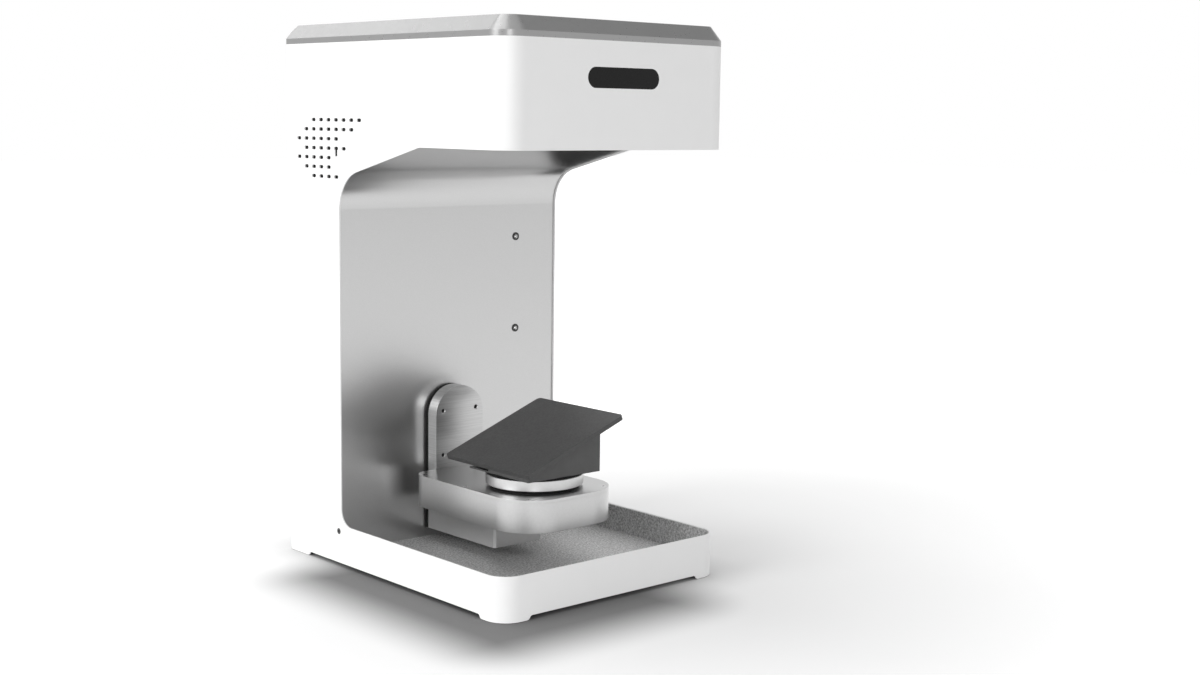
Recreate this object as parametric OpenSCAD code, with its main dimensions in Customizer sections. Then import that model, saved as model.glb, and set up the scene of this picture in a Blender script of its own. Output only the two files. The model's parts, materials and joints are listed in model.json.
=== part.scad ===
// Desktop 3D scanner with a swing arm and a turntable.
// X runs to the right of the front face, Y to the back, Z up.
// The origin is the middle of the footprint, on the table.

/* [Housing] */
// Width of the housing
body_w = 257; // [245:1:275]
// Depth of the housing
body_d = 330; // [322:1:350]
// Height of the scanner with its cap
body_h = 500; // [485:1:530]
// Thickness of the folded housing sheet
shell_t = 1.2; // [1:0.1:1.6]
// Radius of the two upright front corners
corner_r = 21; // [16:0.5:24]
// Radius of the two upright back corners
back_corner_r = 5; // [4.5:0.5:7]
// Width of the frame round the opening in the back wall
rear_frame = 14; // [13:0.5:18]
// Height of the white band of the head
head_band_h = 91; // [86:1:96]
// Depth of the column's side cheeks, from the back
column_depth = 91; // [88:1:96]
// Run of the slope under the head
slope_run = 122.5; // [115:0.5:128]
// Rise of the slope under the head
slope_rise = 30.9; // [26:0.1:35]
// Radius where a cheek turns into the slope
cheek_top_r = 36; // [28:1:42]
// Radius where a cheek turns into the tray's rim
cheek_bottom_r = 15; // [10:1:18]
// Height of the tray's rim above the table
tray_rim_z = 40; // [38:0.5:44]
// Height of the gap under the skirt between the feet
skirt_z = 4; // [3.4:0.1:4.6]
// Length of a front skirt foot at the table
skirt_foot_l = 27.2; // [24:0.1:32]
// Length of a rear skirt foot along the cheek
skirt_rear_foot_l = 33; // [28:0.5:38]
// Radius of the curve that ends a skirt foot
skirt_curve_r = 3.25; // [3:0.05:4]
// Lift of the skirt's edge above the rubber feet
skirt_lift = 0.4; // [0.2:0.1:0.6]

/* [Cap] */
// Full height of the cap
cap_h = 17.5; // [15:0.5:20]
// Height of the cap's upright rim
cap_rim_h = 5; // [4:0.5:7]
// How far the cap's bevel runs in
cap_inset = 9.5; // [8:0.5:11]
// Wall of the cap
cap_wall = 3; // [2.5:0.1:3.4]
// Depth of the lip that centres the cap in the housing
cap_lip_h = 5; // [3:0.5:7]

/* [Nameplate] */
// Length of the bare nameplate
nameplate_w = 81.3; // [70:0.5:90]
// Height of the nameplate
nameplate_h = 17.4; // [14:0.2:20]
// Thickness of the nameplate, which lies flush in its recess
nameplate_t = 0.6; // [0.4:0.1:0.7]
// Distance from the top of the white band to the nameplate's centre
nameplate_drop = 30.7; // [24:0.1:40]

/* [Vents] */
// Spacing of the cheek's vent slots along the depth
vent_pitch_y = 12.35; // [11:0.05:13]
// Spacing of the cheek's vent rows up the cheek
vent_pitch_z = 8.55; // [8:0.05:9]
// Length of one vent slot
vent_l = 6.6; // [5:0.1:7.2]
// Height of one vent slot
vent_h = 3.2; // [2.4:0.1:3.8]
// Distance from the back to the rearmost column of slots
vent_back = 24.7; // [22:0.1:30]
// Distance from the top of the white band to the top row of slots
vent_drop = 69; // [64:0.5:74]

/* [Liner and tray] */
// Thickness of the bent liner sheet
liner_t = 0.8; // [0.6:0.1:1]
// How far the liner lies behind the cheeks' edges
liner_setback = 1.5; // [1:0.1:2.5]
// Height of the tray's floor above the table
tray_floor_z = 14.5; // [13.5:0.1:15.5]
// Thickness of the tray's sheet
pan_t = 0.8; // [0.6:0.1:1]
// Gap between the tray's wall and the housing
pan_gap = 0.15; // [0.1:0.05:0.3]
// Thickness of the base plate
base_t = 1.5; // [1.2:0.1:2]
// Radius of a rubber foot
foot_r = 11; // [9:0.5:12]
// Distance of a rubber foot's centre from the housing's sides
foot_inset = 26; // [24:0.5:30]
// Distance of the liner's screws from the housing's side
liner_screw_in = 50; // [46:0.5:54]
// Drop of the upper liner screw below the foot of the slope
liner_screw_drop = 59.6; // [50:0.2:66]
// Distance between the two liner screws
liner_screw_pitch = 91.3; // [84:0.1:96]

/* [Swing plate] */
// Sideways place of the swing axis
swing_x = -3; // [-6:0.1:0]
// Height of the swing axis above the table
swing_z = 133.6; // [133:0.1:140]
// Half of the swing plate's width, and the radius of its round top
swing_half_w = 28; // [26:0.5:30]
// Thickness of the swing plate
swing_plate_t = 12.6; // [11:0.1:14]
// Thickness of the black spacer behind the plate
spacer_t = 3.6; // [3.4:0.1:5]
// Running gap between the spacer and the liner
spacer_gap = 0.5; // [0.4:0.1:0.8]
// Distance from the swing axis down to the underside of the motor box
swing_drop = 110.2; // [108:0.2:110.8]
// Sideways distance of the plate's screws from its middle
swing_screw_x = 19.5; // [17:0.5:20]
// Height of the upper plate screws above the axis
swing_screw_up = 5; // [4:0.5:7]
// Drop of the lower plate screws below the axis
swing_screw_down = 38; // [34:0.5:40]

/* [Arm and turntable] */
// Width of the arm
arm_w = 121; // [116:1:124]
// Length of the arm, from the swing plate to its front
arm_l = 167.9; // [164:0.1:172]
// Height of the arm with its cover
arm_h = 30; // [28:0.5:30]
// Distance from the swing axis down to the top of the arm
arm_drop = 50.6; // [50:0.1:53]
// Radius of the arm's front corners
arm_front_r = 38.5; // [34:0.5:42]
// Radius of the arm's rear corners
arm_rear_r = 17; // [12:0.5:20]
// Sideways place of the arm's middle
arm_x = 0.7; // [-1:0.1:2]
// Distance of the arm cover's side screws from the arm's edge
arm_screw_in = 5.5; // [5.2:0.1:6]
// Distance of the rear side screws from the arm's rear end
arm_screw_rear = 13.9; // [12.5:0.1:16]
// Distance between the rear and the middle side screws
arm_screw_pitch = 63; // [56:1:68]
// Distance of the arm cover's front screws from the arm's front
arm_screw_front = 13.5; // [12:0.5:15]
// Distance of the front screws from the arm's side edges
arm_front_screw_in = 16; // [15:0.5:18]
// Wall of the arm
arm_wall = 3.5; // [3:0.1:4]
// Thickness of the arm's cover
arm_cover_t = 3; // [2.5:0.1:3.4]
// Length of the motor box, from the swing plate's front
motor_box_l = 90.4; // [88:0.2:92]
// Wall of the motor box
motor_box_wall = 2; // [1.6:0.1:2.4]
// Bevel on the motor box's upright front edges
motor_box_bevel = 2; // [1:0.1:3]
// Distance from the swing plate's front to the turntable's axis
table_reach = 109.8; // [108:0.2:112]
// Radius of the turntable disc
table_r = 45; // [42:0.5:47]
// Thickness of the turntable disc
table_t = 9.7; // [8:0.1:11]
// Height of the turntable's underside above the arm
table_lift = 2.6; // [2.2:0.1:3]
// Radius of the black pad on the turntable
pad_r = 43.6; // [40:0.1:45]
// Thickness of the pad
pad_t = 1.7; // [1.4:0.1:2.2]

/* [Wedge and object plate] */
// Side of the wedge's square base
wedge_w = 85; // [80:1:90]
// Tilt of the object plate in degrees
plate_tilt = 20.4; // [15:0.2:24]
// Side of the square object plate
plate_w = 120; // [112:1:124]
// Thickness of the object plate
plate_t = 4; // [3:0.1:5]
// Radius of the object plate's corners
plate_corner_r = 4; // [2:0.5:8]
// Height of the wedge at its middle
wedge_mid_h = 28.8; // [26:0.2:32]

/* [Drives] */
// Width of a square stepper motor
motor_w = 42.3; // [40:0.1:43]
// Length of a short stepper motor's body
motor_l = 27; // [25:0.5:27.5]
// Radius of a motor shaft
motor_shaft_r = 2.5; // [2:0.1:3]
// Radius of the swing axle
axle_r = 10; // [9:0.5:11]
// Radius of the cable bore through the swing axle
axle_bore_r = 6; // [5:0.5:7]
// Outer radius of a swing bearing
bearing_r = 21; // [20:0.5:22]
// Radius of the swing drive's large pulley
swing_pulley_r = 38; // [34:0.5:40]
// Radius of the swing drive's small pulley
swing_pinion_r = 9.5; // [8:0.5:10]
// Distance between the swing drive's two shafts
swing_centres = 91; // [86:1:96]
// Radius of the turntable's pulley
table_pulley_r = 24; // [22:0.5:25]
// Radius of the turntable motor's pulley
table_pinion_r = 8; // [7:0.5:9]
// Distance along the arm between the turntable drive's two shafts
table_centres = 44; // [43:0.5:46]
// Thickness of a drive belt
belt_t = 1.4; // [1:0.1:1.6]

/* [Optics] */
// Tilt of the optical head towards the column in degrees
optics_tilt = 10; // [8:0.5:12]
// Distance of the optical head's middle from the front
optics_back = 66; // [62:1:70]
// Height of the optical bar above the head's lower edge
optics_lift = 50; // [49:0.5:54]
// Sideways distance of a camera from the middle
camera_x = 88; // [80:1:92]
// Inward lean of a camera in degrees
camera_lean = 14; // [10:0.5:16]
// Distance of the head's window from the housing's sides
window_side = 21.5; // [18:0.5:28]
// Depth of the window in the head's underside
window_d = 62; // [56:1:66]

/* [Inner frame] */
// Distance from the column's front to the inner frame
web_setback = 34; // [32:0.5:37]
// Distance of the inner frame from the housing's sides
chassis_side = 28.5; // [24:0.5:34]
// Distance from the top of the white band to the top of the inner frame
chassis_drop = 52; // [46:1:58]
// Depth of the inner frame's flanges
chassis_flange = 36; // [30:1:38]
// Thickness of the inner frame's sheet
chassis_t = 2; // [1.6:0.1:2.5]

/* [Hidden] */
$fn = 96;

white = "#f4f4f4";
cap_grey = "#9a9c9e";
steel = "#c4c6c5";
dark = "#4a4a4a";
black = "#1b1b1c";
brass = "#b8964e";
green = "#2c6b45";

// Small overlap that lets a cut pass right through
cut = 1;
// Gap of a piece that is laid into another without touching its walls
fit_gap = 0.2;
// Running gap between a shaft and its hole
run_gap = 0.04;

half_w = body_w / 2;
front_y = -body_d / 2;
back_y = body_d / 2;
shell_top_z = body_h - cap_h;
head_z = shell_top_z - head_band_h;
column_y = back_y - column_depth;
slope = slope_rise / slope_run;
slope_angle = atan(slope);
// Height at which the slope's line meets the column's line
corner_z = head_z - slope_rise;
// The rear panel lies against the inside of the back wall
rear_t = 1.2;
rear_inner_y = back_y - shell_t - rear_t;

// Swing unit, from the liner forward
liner_y = column_y + liner_setback;
spacer_back_y = liner_y - spacer_gap;
plate_back_y = spacer_back_y - spacer_t;
plate_front_y = plate_back_y - swing_plate_t;
swing_bottom_z = swing_z - swing_drop;
arm_top_z = swing_z - arm_drop;
arm_bottom_z = arm_top_z - arm_h;
cover_z = arm_top_z - arm_cover_t;
arm_front_y = plate_front_y - arm_l;
table_x = 0;
table_y = plate_front_y - table_reach;
table_bottom_z = arm_top_z + table_lift;
table_top_z = table_bottom_z + table_t;
pad_top_z = table_top_z + pad_t;

// Inner frame
web_y = column_y + web_setback;
web_back_y = web_y + chassis_t;
chassis_half_w = half_w - chassis_side;
chassis_top_z = shell_top_z - chassis_drop;
window_w = body_w - 2 * window_side;

// Outline of the housing seen from above, drawn in by a distance
module footprint(inset) {
    front_r = corner_r - inset;
    rear_r = back_corner_r - inset;
    x_front = half_w - corner_r;
    x_rear = half_w - back_corner_r;
    union() {
        translate([-x_front, front_y + inset]) square([2 * x_front, corner_r]);
        translate([-half_w + inset, front_y + corner_r])
            square([2 * (half_w - inset), body_d - corner_r - back_corner_r]);
        translate([-x_rear, back_y - back_corner_r - cut])
            square([2 * x_rear, back_corner_r + cut - inset]);
        for (side = [-1, 1]) {
            translate([side * x_front, front_y + corner_r]) circle(front_r);
            translate([side * x_rear, back_y - back_corner_r]) circle(rear_r);
        }
    }
}

// Upright tube with the housing's outline
module housing_tube(inset, wall, z0, z1) {
    translate([0, 0, z0])
        linear_extrude(z1 - z0)
            difference() {
                footprint(inset);
                footprint(inset + wall);
            }
}

// Filled block with the housing's outline
module housing_block(inset, z0, z1) {
    translate([0, 0, z0]) linear_extrude(z1 - z0) footprint(inset);
}

// Extrudes a side view, drawn as depth and height, across the width
module across_x(x0, x1) {
    translate([x0, 0, 0]) rotate([90, 0, 90]) linear_extrude(x1 - x0) children();
}

// Extrudes a front view, drawn as width and height, along the depth
module along_y(y0, y1) {
    translate([0, y1, 0]) rotate([90, 0, 0]) linear_extrude(y1 - y0) children();
}

// Cylinder that lies along the depth
module rod_y(r, y0, y1) {
    translate([0, y0, 0]) rotate([-90, 0, 0]) cylinder(h = y1 - y0, r = r);
}

// Box given by its middle and its lower and upper ends
module box_x(x_mid, w, y0, y1, z0, z1) {
    translate([x_mid - w / 2, y0, z0]) cube([w, y1 - y0, z1 - z0]);
}

// Side view of the space in front of the column and under the head.
// It grows by a distance, which gives the two faces of the liner.
module bay_side(grow, floor_z) {
    wall_y = column_y + grow;
    lift = grow * sqrt(1 + slope * slope);
    meet_z = corner_z - slope * grow + lift;
    top_z = head_z + grow;
    bend_y = column_y - (top_z - corner_z - lift) / slope;
    r = cheek_top_r + grow;
    tangent = r / tan((90 + slope_angle) / 2);
    far_y = front_y - 2 * cut;
    union() {
        difference() {
            polygon([
                [far_y, floor_z], [wall_y, floor_z], [wall_y, meet_z], [bend_y, top_z], [far_y, top_z]
            ]);
            polygon([
                [wall_y, meet_z],
                [wall_y, meet_z - tangent],
                [wall_y - r, meet_z - tangent],
                [wall_y - tangent * cos(slope_angle), meet_z + tangent * sin(slope_angle)],
                [wall_y, meet_z + tangent * sin(slope_angle)]
            ]);
        }
        translate([wall_y - r, meet_z - tangent]) circle(r);
    }
}

// Side view of the opening cut through the two cheeks
module bay_cut_side() {
    difference() {
        bay_side(0, tray_rim_z);
        difference() {
            translate([column_y - cheek_bottom_r, tray_rim_z]) square([cheek_bottom_r, cheek_bottom_r]);
            translate([column_y - cheek_bottom_r, tray_rim_z + cheek_bottom_r]) circle(cheek_bottom_r);
        }
    }
}

// Front view of the gap under the skirt. Each end is an S-curve of two arcs.
skirt_curve_steps = 6;

module skirt_gap(half_l) {
    r = skirt_curve_r;
    turn = acos(1 - (skirt_z - skirt_lift) / (2 * r));
    step = r * sin(turn);
    straight = half_l - 2 * step;
    turns = [for (i = [0 : skirt_curve_steps]) turn * i / skirt_curve_steps];
    upper = [for (a = turns) [straight + r * sin(a), skirt_z - r + r * cos(a)]];
    lower = [for (i = [skirt_curve_steps - 1 : -1 : 0])
        [half_l - r * sin(turns[i]), skirt_lift + r - r * cos(turns[i])]];
    end = concat(upper, lower, [[half_l, -cut]]);
    polygon(concat(end, [for (i = [len(end) - 1 : -1 : 0]) [-end[i][0], end[i][1]]]));
}

// One vent slot, drawn as depth and height
module vent_slot(length, height) {
    r = height / 2;
    union() {
        translate([-length / 2 + r, -r]) square([length - height, height]);
        translate([-length / 2 + r, 0]) circle(r, $fn = 24);
        translate([length / 2 - r, 0]) circle(r, $fn = 24);
    }
}

// The group of vent slots: first and last column of each row, counted from the back
vent_first = [3, 2, 1, 2, 1, 2, 3];
vent_last = [9, 8, 6, 7, 5, 5, 6];
vent_long_row = 3;
vent_long_col = 6;
vent_long_h = 7;
vent_long_w = 4;

module vent_group() {
    for (row = [0 : len(vent_first) - 1], col = [vent_first[row] : vent_last[row]]) {
        y = back_y - vent_back - (col - 1) * vent_pitch_y;
        z = shell_top_z - vent_drop - row * vent_pitch_z;
        translate([y, z]) vent_slot(vent_l, vent_h);
        if (row == vent_long_row && col == vent_long_col)
            translate([y - vent_long_w / 2, z - vent_long_h]) square([vent_long_w, vent_long_h]);
    }
}

// Black filter sheets behind the vent slots. Their lower part keeps behind the bend.
filter_t = 2;
filter_edge = 5;
filter_full_rows = 4;

module vent_filters() {
    first_y = back_y - vent_back;
    first_z = shell_top_z - vent_drop;
    rows = len(vent_last);
    long_y = first_y - (max(vent_last) - 1) * vent_pitch_y - filter_edge;
    step_z = first_z - (filter_full_rows - 1) * vent_pitch_z - filter_edge;
    low_z = first_z - (rows - 1) * vent_pitch_z - filter_edge;
    x_mid = half_w - shell_t - filter_t / 2;
    color(black)
        for (side = [-1, 1]) {
            box_x(side * x_mid, filter_t, long_y, first_y + filter_edge, step_z, first_z + filter_edge);
            box_x(side * x_mid, filter_t, column_y, first_y + filter_edge, low_z, step_z);
        }
}

// Screw places
side_screw_back = 4.3;
side_screw_y = column_y + side_screw_back;
side_screw_z = 33.8;
side_screw_r = 1.5;
side_head_r = 2.9;
side_head_h = 1.1;

module side_screw_shape(grow) {
    rotate([0, 90, 0]) {
        cylinder(h = side_head_h, r1 = side_head_r + grow, r2 = side_screw_r + grow);
        cylinder(h = 2 * shell_t + 4 * pan_t, r = side_screw_r + grow);
    }
}

// Opening in the back wall, and the rear screws around it
rear_frame_low = 10;
rear_frame_top = 18;
rear_open_z0 = tray_rim_z + rear_frame_low;
rear_open_z1 = shell_top_z - rear_frame_top;
rear_lap = 9;
rear_screw_r = 1.5;
rear_head_r = 2.9;
rear_head_h = 1.1;
rear_screw_l = 6;
rear_screw_x = half_w - rear_frame + rear_lap / 2;
rear_screw_rows = 4;
rear_screw_end = 12;
rear_screw_run = rear_open_z1 - rear_open_z0 - 2 * rear_screw_end;

module rear_screw_places(first, last) {
    for (side = [-1, 1], row = [first : last])
        translate([
            side * rear_screw_x,
            back_y,
            rear_open_z0 + rear_screw_end + row * rear_screw_run / (rear_screw_rows - 1)
        ])
            children();
}

module rear_screw_shape(grow, length) {
    rotate([90, 0, 0]) {
        cylinder(h = rear_head_h, r1 = rear_head_r + grow, r2 = rear_screw_r + grow);
        cylinder(h = length, r = rear_screw_r + grow);
    }
}

// Ends of the housing's parts: above the cheeks' lower curve, below their upper
// curve, and where the slope under the head begins
base_top_z = tray_rim_z + cheek_bottom_r;
neck_z = corner_z - cheek_top_r / tan((90 + slope_angle) / 2);
neck_y = column_y - slope_run;

// The folded sheet of the housing is drawn in four parts, so that the collision
// pieces of each one follow the sheet round the bay.
module shell_part(y0, y1, z0, z1) {
    intersection() {
        housing_tube(0, shell_t, z0, z1);
        box_x(0, body_w + 2 * cut, y0, y1, z0, z1);
    }
}

module rear_opening() {
    along_y(back_y - shell_t - cut, back_y + cut)
        translate([-half_w + rear_frame, rear_open_z0])
            square([2 * (half_w - rear_frame), rear_open_z1 - rear_open_z0]);
}

module shell_base() {
    side_gap_l = body_d - skirt_foot_l - skirt_rear_foot_l;
    side_gap_mid = (skirt_foot_l - skirt_rear_foot_l) / 2;
    color(white)
        difference() {
            housing_tube(0, shell_t, skirt_lift, base_top_z);
            across_x(-half_w - cut, half_w + cut) bay_cut_side();
            along_y(front_y - cut, back_y + cut) skirt_gap(half_w - skirt_foot_l);
            across_x(-half_w - cut, half_w + cut) translate([side_gap_mid, 0]) skirt_gap(side_gap_l / 2);
            rear_opening();
            for (side = [0, 1])
                mirror([side, 0, 0])
                    translate([-half_w, side_screw_y, side_screw_z]) side_screw_shape(0);
        }
}

module shell_column() {
    color(white)
        difference() {
            shell_part(column_y, back_y + cut, base_top_z, neck_z);
            rear_opening();
            rear_screw_places(0, rear_screw_rows - 2) rear_screw_shape(0, 2 * shell_t);
        }
}

module shell_neck() {
    color(white)
        difference() {
            shell_part(neck_y, back_y + cut, neck_z, shell_top_z);
            across_x(-half_w - cut, half_w + cut) bay_cut_side();
            across_x(-half_w - cut, half_w + cut) vent_group();
            rear_opening();
            rear_screw_places(rear_screw_rows - 1, rear_screw_rows - 1) rear_screw_shape(0, 2 * shell_t);
        }
}

module shell_head() {
    nameplate_z = shell_top_z - nameplate_drop;
    color(white)
        difference() {
            shell_part(front_y - cut, neck_y, head_z, shell_top_z);
            translate([0, 0, nameplate_z])
                along_y(front_y - cut, front_y + nameplate_t) nameplate_outline(nameplate_gap);
        }
}

nameplate_gap = 0.05;

module nameplate_outline(grow) {
    r = nameplate_h / 2 + grow;
    straight = nameplate_w / 2 - nameplate_h / 2;
    union() {
        translate([-straight, -r]) square([2 * straight, 2 * r]);
        for (side = [-1, 1]) translate([side * straight, 0]) circle(r);
    }
}

module nameplate() {
    color(black)
        translate([0, 0, shell_top_z - nameplate_drop])
            along_y(front_y, front_y + nameplate_t) nameplate_outline(0);
}

// Wall of the cap's lip, and distance of its hollow from the housing's sides
cap_lip_t = 2;
cap_shoulder = 1;
cap_hollow_in = cap_inset + cap_wall + cap_shoulder;

// Upright corner of the cap. Its bevel is a cone, which stops short of its point where
// the corner's radius is smaller than the bevel's run.
cap_point_r = 0.3;

module cap_corner(r) {
    bevel_h = cap_h - cap_rim_h;
    run = min(r - cap_point_r, cap_inset);
    cylinder(h = cap_rim_h, r = r);
    translate([0, 0, cap_rim_h]) cylinder(h = bevel_h * run / cap_inset, r1 = r, r2 = r - run);
}

// The cap's bevel is cut by planes at its sides and by cones at its corners
module cap() {
    rim_z = shell_top_z + cap_rim_h;
    color(cap_grey)
        difference() {
            union() {
                difference() {
                    intersection() {
                        housing_block(0, shell_top_z, body_h);
                        across_x(-half_w - cut, half_w + cut)
                            polygon([
                                [front_y, shell_top_z],
                                [back_y, shell_top_z],
                                [back_y, rim_z],
                                [back_y - cap_inset, body_h],
                                [front_y + cap_inset, body_h],
                                [front_y, rim_z]
                            ]);
                        along_y(front_y - cut, back_y + cut)
                            polygon([
                                [-half_w, shell_top_z],
                                [half_w, shell_top_z],
                                [half_w, rim_z],
                                [half_w - cap_inset, body_h],
                                [-half_w + cap_inset, body_h],
                                [-half_w, rim_z]
                            ]);
                    }
                    for (side = [-1, 1]) {
                        box_x(
                            side * (half_w - corner_r / 2), corner_r,
                            front_y, front_y + corner_r, shell_top_z - cut, body_h + cut
                        );
                        box_x(
                            side * (half_w - back_corner_r / 2), back_corner_r,
                            back_y - back_corner_r, back_y, shell_top_z - cut, body_h + cut
                        );
                    }
                }
                for (side = [-1, 1]) {
                    translate([side * (half_w - corner_r), front_y + corner_r, shell_top_z])
                        cap_corner(corner_r);
                    translate([side * (half_w - back_corner_r), back_y - back_corner_r, shell_top_z])
                        cap_corner(back_corner_r);
                }
                cap_lip();
            }
            housing_block(shell_t + fit_gap + cap_lip_t, shell_top_z - cap_lip_h - cut, shell_top_z);
            translate([-half_w + cap_hollow_in, front_y + cap_hollow_in, shell_top_z - cut])
                cube([2 * (half_w - cap_hollow_in), body_d - 2 * cap_hollow_in, cap_h - cap_wall + cut]);
        }
}

// Lip that stands inside the housing's upper edge
module cap_lip() {
    housing_block(shell_t + fit_gap, shell_top_z - cap_lip_h, shell_top_z);
}

// Rear panel with its openings
fan_x = 55;
fan_drop = 55;
fan_z = shell_top_z - fan_drop;
fan_w = 60;
fan_t = 15;
fan_hole_r = 2.6;
fan_hole_pitch = 7.4;
fan_rings = 3;
intake_slots = 9;
intake_pitch = 9;
intake_w = 3.4;
intake_l = 42;
intake_x = 40;
intake_z = 96;
inlet_x = -70;
inlet_z = 78;
inlet_w = 27.4;
inlet_h = 19.6;
inlet_flange = 6;
inlet_depth = 24;
inlet_wall = 2;
switch_x = inlet_x;
switch_lift = 36;
switch_z = inlet_z + switch_lift;
switch_w = 21;
switch_h = 14;
switch_flange = 2.5;
switch_depth = 15;
switch_wall = 1.4;
socket_x = -24;
socket_z = inlet_z;
socket_w = 12.2;
socket_h = 11;
socket_flange = 2;
socket_depth = 16;
socket_wall = 1;

module rear_panel() {
    panel_half = half_w - rear_frame + rear_lap;
    color(white)
        difference() {
            along_y(rear_inner_y, rear_inner_y + rear_t)
                difference() {
                    translate([-panel_half, rear_open_z0 - rear_lap])
                        square([2 * panel_half, rear_open_z1 - rear_open_z0 + 2 * rear_lap]);
                    translate([fan_x, fan_z]) fan_holes();
                    for (i = [0 : intake_slots - 1])
                        translate([intake_x + (i - (intake_slots - 1) / 2) * intake_pitch, intake_z])
                            rotate(90) vent_slot(intake_l, intake_w);
                    opening_2d(inlet_x, inlet_z, inlet_w, inlet_h, fit_gap);
                    opening_2d(switch_x, switch_z, switch_w, switch_h, fit_gap);
                    opening_2d(socket_x, socket_z, socket_w, socket_h, fit_gap);
                }
            rear_screw_places(0, rear_screw_rows - 1) rear_screw_shape(0, 4 * rear_t);
        }
}

module opening_2d(x, z, w, h, grow) {
    translate([x - w / 2 - grow, z - h / 2 - grow]) square([w + 2 * grow, h + 2 * grow]);
}

module fan_holes() {
    circle(fan_hole_r, $fn = 24);
    for (ring = [1 : fan_rings], i = [0 : 6 * ring - 1])
        rotate(i * 60 / ring) translate([ring * fan_hole_pitch, 0]) circle(fan_hole_r, $fn = 24);
}

module rear_screws() {
    color(black)
        rear_screw_places(0, rear_screw_rows - 1)
            difference() {
                rear_screw_shape(0, rear_screw_l);
                rotate([90, 0, 0]) hex_socket(rear_screw_r * 0.7, rear_head_h * 0.9);
            }
}

module hex_socket(r, depth) {
    translate([0, 0, -cut])
        linear_extrude(depth + cut)
            polygon([for (i = [0 : 5]) [r * cos(60 * i), r * sin(60 * i)]]);
}

module side_screws() {
    color(black)
        for (side = [0, 1])
            mirror([side, 0, 0])
                translate([-half_w, side_screw_y, side_screw_z])
                    difference() {
                        side_screw_shape(0);
                        rotate([0, 90, 0]) hex_socket(side_screw_r * 0.7, side_head_h * 0.9);
                    }
}

// Screws that hold the liner to the board's bracket
liner_screw_x = half_w - liner_screw_in;
liner_screw_top = corner_z - liner_screw_drop;
liner_screw_z = [liner_screw_top, liner_screw_top - liner_screw_pitch];
liner_screw_r = 1.5;
liner_head_r = 2.1;
liner_head_h = 1.4;
liner_socket_r = 0.9;
liner_washer_r = 3.9;
liner_washer_t = 0.6;

module liner_screws() {
    color(steel)
        for (z = liner_screw_z)
            translate([liner_screw_x, liner_y - liner_washer_t, z]) {
                difference() {
                    button_head(liner_head_r, liner_head_h);
                    translate([0, -liner_head_h, 0])
                        rotate([-90, 0, 0]) hex_socket(liner_socket_r, liner_head_h * 0.6);
                }
                rod_y(liner_screw_r, 0, web_back_y - liner_y + liner_washer_t);
            }
}

module liner_washers() {
    color(black)
        for (z = liner_screw_z)
            translate([liner_screw_x, liner_y - liner_washer_t, z])
                difference() {
                    rod_y(liner_washer_r, 0, liner_washer_t);
                    rod_y(liner_screw_r, -cut, liner_washer_t + cut);
                }
}

// Low domed screw head that faces the front
module button_head(r, h) {
    dome_r = (r * r + h * h) / (2 * h);
    intersection() {
        translate([0, dome_r - h, 0]) sphere(dome_r);
        rod_y(r, -h, 0);
    }
}

// Spacers between the liner and the inner frame, round the liner's screws
liner_post_r = 6;

module liner() {
    axle_clear = 5;
    hole_r = axle_r + axle_clear;
    window_y = optics_window_y();
    pan_in = shell_t + pan_gap + pan_t + fit_gap;
    color(steel)
        difference() {
            intersection() {
                across_x(-half_w, half_w)
                    difference() {
                        bay_side(liner_setback + liner_t, tray_floor_z);
                        bay_side(liner_setback, tray_floor_z - cut);
                    }
                housing_block(shell_t + fit_gap, tray_floor_z, shell_top_z);
            }
            translate([swing_x, 0, swing_z]) rod_y(hole_r, liner_y - cut, liner_y + liner_t + cut);
            for (z = liner_screw_z)
                translate([liner_screw_x, 0, z])
                    rod_y(liner_screw_r, liner_y - cut, liner_y + liner_t + cut);
            box_x(
                0, window_w, window_y - window_d / 2, window_y + window_d / 2,
                head_z, head_z + 2 * cut + liner_setback
            );
            // The lower end stands between the tray's walls
            housing_tube(-cut, pan_in + cut, tray_floor_z - cut, tray_rim_z);
        }
}

module pan() {
    inset = shell_t + pan_gap;
    rim_drop = 0.6;
    color("#8c8d8e")
        difference() {
            union() {
                housing_tube(inset, pan_t, tray_floor_z - pan_t, tray_rim_z - rim_drop);
                housing_block(inset, tray_floor_z - pan_t, tray_floor_z);
            }
            for (side = [0, 1])
                mirror([side, 0, 0])
                    translate([-half_w, side_screw_y, side_screw_z]) side_screw_shape(0);
        }
}

module base_plate() {
    slot_l = 60;
    slot_w = 5;
    slot_count = 7;
    slot_pitch = 16;
    slot_back = 60;
    slot_y = back_y - slot_back;
    plate_in = 2;
    color("#77797b")
        difference() {
            housing_block(shell_t + plate_in, base_bottom_z(), tray_floor_z - pan_t);
            for (i = [0 : slot_count - 1])
                translate([(i - (slot_count - 1) / 2) * slot_pitch, slot_y, base_bottom_z() - cut])
                    linear_extrude(base_t + cut) rotate(90) vent_slot(slot_l, slot_w);
        }
}

function base_bottom_z() = tray_floor_z - pan_t - base_t;

module foot_pads() {
    bevel = 1.2;
    color(black)
        for (x = [-1, 1], y = [-1, 1])
            translate([x * (half_w - foot_inset), y * (back_y - foot_inset), 0]) {
                cylinder(h = bevel, r1 = foot_r - bevel, r2 = foot_r);
                translate([0, 0, bevel]) cylinder(h = base_bottom_z() - bevel, r = foot_r);
            }
}

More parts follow.
